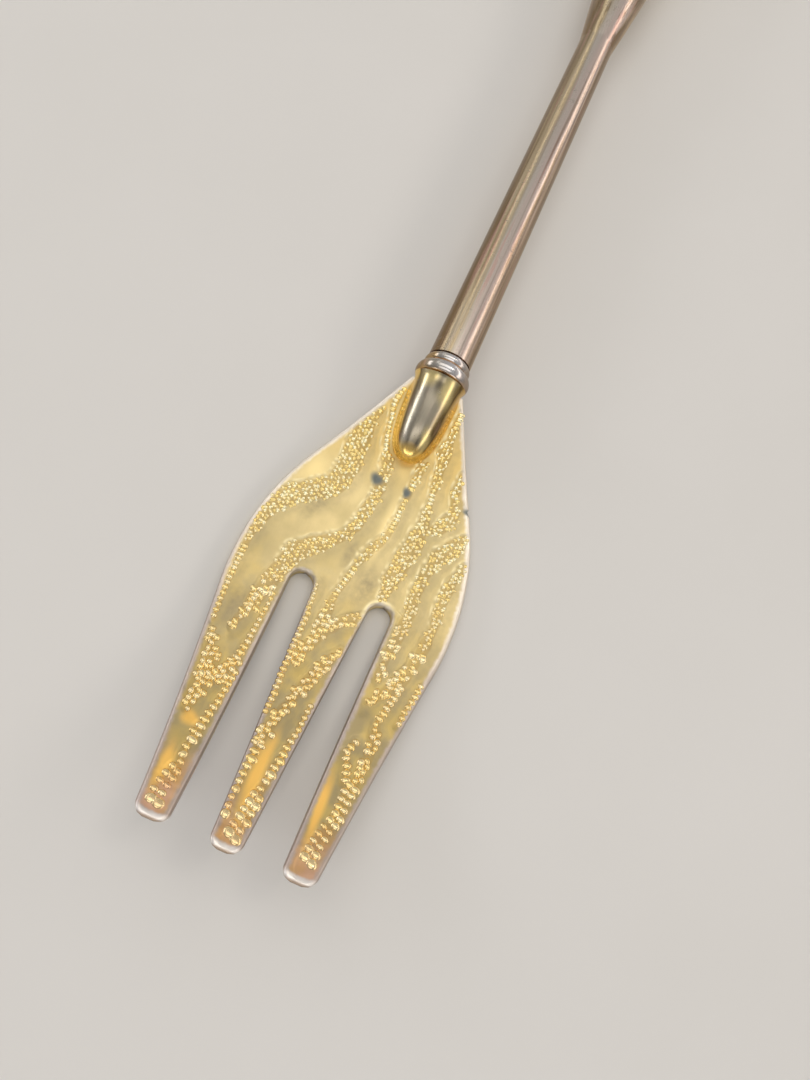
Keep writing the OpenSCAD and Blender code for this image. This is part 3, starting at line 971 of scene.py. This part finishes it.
def row_of(vert):
    """The row of the grid, 0 at the collar, that a vertex is in."""
    return round((vert.co.x + 1) / 2 * row_count)


def column_of(vert):
    """The column of the grid, 0 at the left, that a vertex is in."""
    return round((vert.co.y + 1) / 2 * column_count)


def on_seam(edge):
    """Whether an edge is part of a seam between two tines."""
    first, last = edge.verts
    lengthwise = column_of(first) == column_of(last)
    return lengthwise and column_of(first) in seams and min(row_of(first), row_of(last)) >= ROWS[0]


seam_edges = [edge for edge in head.edges if on_seam(edge)]
bmesh.ops.split_edges(head, edges=seam_edges)
head.verts.ensure_lookup_table()
print(f"grid {row_count} by {column_count}, {len(seam_edges)} seam edges split")

# %% Columns moved to the outline
NICK_PLACE = 8.62
NICK_HALF = 0.35
NICK_DEPTH = 0.22


def block_of(vert):
    """The tine, 0 to 2, whose columns a vertex belongs to."""
    middle = sum(f.calc_center_median().y for f in vert.link_faces) / len(vert.link_faces)
    column = (middle + 1) / 2 * column_count
    return sum(column > seam for seam in seams)


rows = np.array([row_of(v) for v in head.verts])
columns = np.array([column_of(v) for v in head.verts])
blocks = np.array([block_of(v) for v in head.verts])

behind = between(HEAD_BACK, SLOT_PLACE, rows / ROWS[0])
ahead = between(SLOT_PLACE, HEAD_LENGTH, (rows - ROWS[0]) / ROWS[1])
x = np.where(rows <= ROWS[0], behind, ahead)
edge = half_width(x)
seam_line = slot_middle(x)
opening = slot_half(x)
inset = inset_at_tip(x)
starts = np.choose(blocks, [-edge, opening - seam_line, seam_line + opening]) + inset
ends = np.choose(blocks, [-seam_line - opening, seam_line - opening, edge]) - inset
first_columns = np.array((0, *seams))[blocks]
y = between(starts, ends, (columns - first_columns) / np.array(COLUMNS)[blocks])
right_rim = (y > 0) * smooth_step(1.2, 0.0, edge - np.abs(y))
y = y - NICK_DEPTH * right_rim * smooth_step(NICK_HALF, 0.0, np.abs(x - NICK_PLACE))
for vert, px, py in zip(head.verts, x, y):
    vert.co = (px, py, 0.0)
print(f"blank spans {y.min():.2f} to {y.max():.2f} mm across")

# %% Thickness and relief
extruded = bmesh.ops.extrude_face_region(head, geom=head.faces[:], use_keep_orig=True)["geom"]
upper = [v for v in extruded if isinstance(v, bmesh.types.BMVert)]
upper_set = set(upper)
lower = [v for v in head.verts if v not in upper_set]

spots = np.array([(v.co.x, v.co.y) for v in upper])
heights, facts = relief(spots[:, 0], spots[:, 1])
for label, values in facts.items():
    for vert, value in zip(upper, values):
        vert[layers[label]] = value
for vert, height in zip(upper, heights):
    vert.co.z = height
for vert in lower:
    vert.co.z = -half_plate(vert.co.x)
    off_edge = min(half_width(vert.co.x) - abs(vert.co.y), HEAD_LENGTH - vert.co.x)
    vert[layers["slot"]] = smooth_step(28.0, 21.0, vert.co.x) if off_edge > 0.5 else 0.0
print(f"struck face {heights.min():.2f} to {heights.max():.2f} mm over the middle of the plate")

# %% [markdown]
# The underside is plain, so its small faces are joined into strips. One inset then makes a narrow face
# along its edge, and raising the outer line of that face rounds the edge off.

# %% Underside
UNDER_INSET = 0.3
UNDER_ROUND = 0.2

lower_set = set(lower)
under = {f for f in head.faces if all(v in lower_set for v in f.verts)}
lengthwise = [
    e for e in head.edges
    if len(e.link_faces) == 2 and all(f in under for f in e.link_faces)
    and abs(e.verts[0].co.x - e.verts[1].co.x) > 0.01]
bmesh.ops.dissolve_edges(head, edges=lengthwise, use_verts=True)

under = [f for f in head.faces if f.normal.z < -0.5 and all(v.co.z < -0.3 for v in f.verts)]
under_rim = {v for f in under for v in f.verts}
bmesh.ops.inset_region(head, faces=under, thickness=UNDER_INSET, use_even_offset=True)
for vert in head.verts:
    if vert.co.z < -0.3 and vert not in under_rim:
        vert[layers["rim"]] = 0.1 + 0.9 * smooth_step(39.5, 35.0, vert.co.x)
        vert[layers["slot"]] = 0.0
for vert in under_rim:
    vert.co.z += UNDER_ROUND
    # Painted shade: the underside edge is darkened towards the tips.
    vert[layers["slot"]] = max(vert[layers["slot"]], 0.85 * smooth_step(36.0, 39.0, vert.co.x))
print(f"head: {len(head.faces)} faces after the plain underside was joined into strips")

# %% [markdown]
# One bead is the upper half of a small sphere, closed below. Copying it a thousand times one by one would
# be slow, so the copies are made by doubling, in a long row: one bead, two, four and so on. Then each
# bead of the row is stretched, turned and sunk a little into the floor of its band. Its foot is marked
# as a gap: polish and dirt stay where a cloth can't reach, and the gap's brown is also painted shade
# round the foot.

# %% Row of beads
ROW_STEP = 3.0

sphere = bmesh.ops.create_uvsphere(head, u_segments=8, v_segments=6, radius=1.0)["verts"]
bmesh.ops.delete(head, geom=[v for v in sphere if v.co.z < -0.01], context="VERTS")
bmesh.ops.contextual_create(head, geom=[e for e in head.edges if e.is_boundary])
dome = [v for v in sphere if v.is_valid]
dome_edges = dict.fromkeys(e for v in dome for e in v.link_edges)
dome_faces = dict.fromkeys(f for v in dome for f in v.link_faces)
row = [*dome, *dome_edges, *dome_faces]
row_verts = dome
made = 1
while made < len(beads):
    copied = bmesh.ops.duplicate(head, geom=row)["geom"]
    copied_verts = [part for part in copied if isinstance(part, bmesh.types.BMVert)]
    bmesh.ops.translate(head, verts=copied_verts, vec=(ROW_STEP * made, 0.0, 0.0))
    row = row + copied
    row_verts = row_verts + copied_verts
    made = made * 2
print(f"{made} beads in the row, {len(beads)} needed")

# %% Beads set in their bands
BEAD_HEIGHT = 0.1
SUNK = 0.03

floors, floor_facts = relief(beads[:, 0], beads[:, 1])
lots = scatter(np.arange(len(beads)), 0, 5)
taller = 0.06 * smooth_step(20.0, 28.0, beads[:, 0]) - 0.03 * smooth_step(33.0, 37.0, beads[:, 0])
rises = BEAD_HEIGHT * (0.7 + 0.6 * lots) + taller + SUNK
spare = []
for vert in row_verts:
    number = round(vert.co.x / ROW_STEP)
    if number >= len(beads):
        spare.append(vert)
        continue
    x, y, long, wide, turned = beads[number]
    vert[layers["bead"]] = 0.3 + 0.7 * vert.co.z
    vert[layers["gap"]] = 1 - min(2 * vert.co.z, 1.0)
    vert[layers["tone"]] = lots[number]
    vert[layers["rim"]] = max(floor_facts["rim"][number], 0.6)
    along = (vert.co.x - ROW_STEP * number) * long
    across = vert.co.y * wide
    vert.co.x = x + along * math.cos(turned) - across * math.sin(turned)
    vert.co.y = y + along * math.sin(turned) + across * math.cos(turned)
    vert.co.z = floors[number] - SUNK + vert.co.z * rises[number]
bmesh.ops.delete(head, geom=spare, context="VERTS")
print(f"head: {sum(len(f.verts) - 2 for f in head.faces)} triangles with its beads")

# %% [markdown]
# Bending comes last. The middle line of the plate slopes down from the collar, eases into the flat
# belly and rises along the tines on a long radius, and every vertex keeps its height square to it. Only
# the ends of the tines are cut upright.

# %% Bend
NECK_SLOPE = math.radians(17)
NECK_RADIUS = 24.0
NECK_DROP = 0.7
TINE_RADIUS = 48.0
UPRIGHT_RUN = 2.0

neck_run = NECK_RADIUS * math.sin(NECK_SLOPE)
neck_rise = NECK_RADIUS * (1 - math.cos(NECK_SLOPE))
neck_end = (collar.z / MM - NECK_DROP - PLATE / 2 - neck_rise) / math.tan(NECK_SLOPE)
belly_back = neck_end + neck_run


def bent(x, height):
    """Place in the side view of a point at a distance from the collar and a height over the middle."""
    if x < neck_end:
        angle = -NECK_SLOPE
        middle = PLATE / 2 + neck_rise + (neck_end - x) * math.tan(NECK_SLOPE)
    elif x < belly_back:
        angle = -math.asin((belly_back - x) / NECK_RADIUS)
        middle = PLATE / 2 + NECK_RADIUS * (1 - math.cos(angle))
    elif x < BELLY_FRONT:
        angle = 0.0
        middle = PLATE / 2
    else:
        angle = math.asin((x - BELLY_FRONT) / TINE_RADIUS)
        middle = PLATE / 2 + TINE_RADIUS * (1 - math.cos(angle))
    upright = max(1 - (HEAD_LENGTH - x) / UPRIGHT_RUN, 0.0)
    return x - height * math.sin(angle) * (1 - upright), middle + height * math.cos(angle)


for vert in head.verts:
    px, pz = bent(vert.co.x, vert.co.z)
    vert.co = (collar.x + px * MM, vert.co.y * MM, pz * MM)
print(f"head bent, {max(v.co.z for v in head.verts) / MM:.2f} mm high")

# %% [markdown]
# ## Finish of the head
# On the smooth bands the gilding is pale and satin. The beads are brighter, and old polish and tone
# make the gaps between them brown; that brown is also painted shade. Towards the tips the gilding turns
# warm, and along the rim it is gone, so the silver shows. Some tones are painted light: highlights on the
# lips of the bands, on a few bright patches, along the right edge and at the ends of the tines, a
# reflection on the neck, and shade beside the bands, on the end faces and under the tips' edges. One
# material holds all of this: each tone lies over the ones before it, with a share that comes from an
# attribute of the mesh, from noise or from the place along the head.

# %% Shares of the head's tones
struck = principled("struck gilt", roughness=0.42)
tree = struck.tree
along = node(tree, "ShaderNodeSeparateXYZ", Vector=struck.place).outputs["X"]


def fact(label):
    """What the head's mesh says about a point."""
    return attribute(tree, label)


def eased(value, start, stop, most=1.0):
    """A share that grows from 0 between two distances from the collar, in millimetres."""
    return ramp(value, collar.x + start * MM, collar.x + stop * MM, 0.0, most)


def gilding_tone(thin, thick, scale):
    """A slow drift between the tones of thin and thick gilding."""
    drift = noise(struck.place, scale, 4.0)
    return blend(ramp(drift, 0.35, 0.65), thin, thick)


fine = noise(struck.place, 2400.0, 4.0)
to_tips = math_node("ADD", along, product(noise(struck.place, 300.0), 0.012))
on_tines = eased(to_tips, 18, 34)
at_tips = eased(to_tips, 40, 46, 0.8)
at_neck = eased(along, 11, 5, 0.8)
at_end = eased(along, 39.45, 39.9)
on_end = eased(along, 39.95, 40.15)

# %% Tones of the smooth bands
PALE_GILT = srgb(228, 208, 154)
OLIVE_GILT = srgb(204, 186, 136)
NECK_REFLECTION = srgb(240, 208, 132)
TINE_GREY = srgb(174, 158, 118)
TINE_GILT = srgb(202, 178, 114)
GREY_AND_SHADE_TONE = srgb(150, 138, 112)
PATCH_HIGHLIGHT = srgb(242, 220, 160)

smooth_tone = layered(
    gilding_tone(PALE_GILT, OLIVE_GILT, 260.0),
    # A warmer gold on the sloping neck, a painted reflection.
    (at_neck, NECK_REFLECTION),
    (on_tines, gilding_tone(TINE_GREY, TINE_GILT, 480.0)),
    # Greyer patches, and painted shade beside the bands.
    (product(fact("grey_and_shade"), fine), GREY_AND_SHADE_TONE),
    # Painted highlights over the bright patches.
    (fact("painted_highlight"), PATCH_HIGHLIGHT))

# %% Tones of the beads and the tips
BEAD_GILT = srgb(255, 246, 204)
BEAD_WARM = srgb(248, 224, 152)
TINE_BEAD = srgb(242, 208, 142)
GAP_PATINA_AND_SHADE = srgb(172, 140, 76)
# Cream of the lips, a painted highlight.
LIP_HIGHLIGHT = srgb(255, 240, 190)
BROWN_TIP = srgb(224, 172, 112)
ROSE_TIP = srgb(222, 176, 152)
WARM_GILT = srgb(255, 207, 114)

bead_tone = blend(ramp(fact("tone"), 0.8, 0.2), BEAD_GILT, BEAD_WARM)
bead_tone = blend(product(on_tines, 0.6), bead_tone, TINE_BEAD)
# Brown in the gaps: patina, and painted shade in the hollows between the beads.
in_gap = product(ramp(fact("gap"), 0.2, 1.0), ramp(on_tines, 0.0, 1.0, 0.5, 0.32))
bright_bead = product(ramp(fact("bead"), 0.2, 0.6), ramp(fact("tone"), 0.3, 0.7))
plain_tip = product(at_tips, ramp(bright_bead, 0.0, 1.0, 1.0, 0.2))
colour = layered(
    smooth_tone,
    (ramp(fact("bead"), 0.05, 0.5), bead_tone),
    (in_gap, GAP_PATINA_AND_SHADE),
    (product(fact("lip"), 0.9), LIP_HIGHLIGHT),
    (plain_tip, gilding_tone(BROWN_TIP, ROSE_TIP, 420.0)),
    (fact("warm"), WARM_GILT))

# %% Worn rim, painted highlight and shade at the tips, spots and shine
RIM_SILVER = srgb(242, 234, 222)
RIM_LILAC = srgb(190, 177, 170)
TIP_HIGHLIGHT = srgb(246, 242, 238)
END_FACE_SHADE = srgb(172, 154, 136)
# Patina on the slot walls near the roots, and painted shade on the underside edge at the tips.
SLOT_PATINA_AND_SHADE = srgb(120, 104, 84)
SPOT_GREY = srgb(140, 147, 144)
BARE_RIM = (0.55, 0.17)

uneven = product(math_node("SUBTRACT", fine, 0.5), 0.4)
worn_rim = math_node("ADD", fact("rim"), uneven)
# Painted highlight: the bare silver is widened and brightened at the ends of the tines; the end faces are
# darkened as painted shade.
worn_rim = math_node("SUBTRACT", worn_rim, product(at_end, 0.3))
bare = ramp(worn_rim, *BARE_RIM, 0.0, 0.9)
rim_tone = layered(RIM_SILVER, (on_tines, RIM_LILAC), (at_end, TIP_HIGHLIGHT), (on_end, END_FACE_SHADE))
colour = layered(
    colour, (bare, rim_tone), (fact("slot"), SLOT_PATINA_AND_SHADE), (fact("spot"), SPOT_GREY))
rough = ramp(fact("bead"), 0.0, 0.6, 0.44, 0.25)
rough = math_node("ADD", rough, product(bare, -0.06))
rough = math_node("ADD", rough, product(fact("spot"), 0.3))
feed(struck.shader, Base_Color=colour, Roughness=rough)
brushed = use_group(tree, scratches, Across=1.0)
bumped(struck, math_node("ADD", fine, brushed), 0.006 * MM)
keep(head, "head_struck", "fork_head", struck, sharp=62)

# %% [markdown]
# ## What stays from the frame
# The pitch inside the handle can't be seen, so its plain solid stays and only gets its finish. The
# floor gets a pale matt one, a little uneven like painted board.

# %% Pitch and floor
PITCH_TONES = (srgb(40, 27, 19), srgb(70, 47, 32))
BOARD_TONES = (srgb(218, 216, 212), srgb(224, 222, 219))

pitch = principled("setting pitch", roughness=0.7, metallic=0.0)
lumps = noise(pitch.place, 700.0, 4.0)
feed(pitch.shader, Base_Color=blend(lumps, *PITCH_TONES))
bumped(pitch, lumps, 0.05 * MM)
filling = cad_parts["handle_filling"].data
filling.materials.clear()
filling.materials.append(pitch.material)

board = principled("pale board", roughness=0.75, metallic=0.0)
mottle = noise(board.place, 40.0, 4.0)
feed(board.shader, Base_Color=blend(mottle, *BOARD_TONES))
floor.data.materials.append(board.material)
print("materials:", [m.name for m in bpy.data.materials])
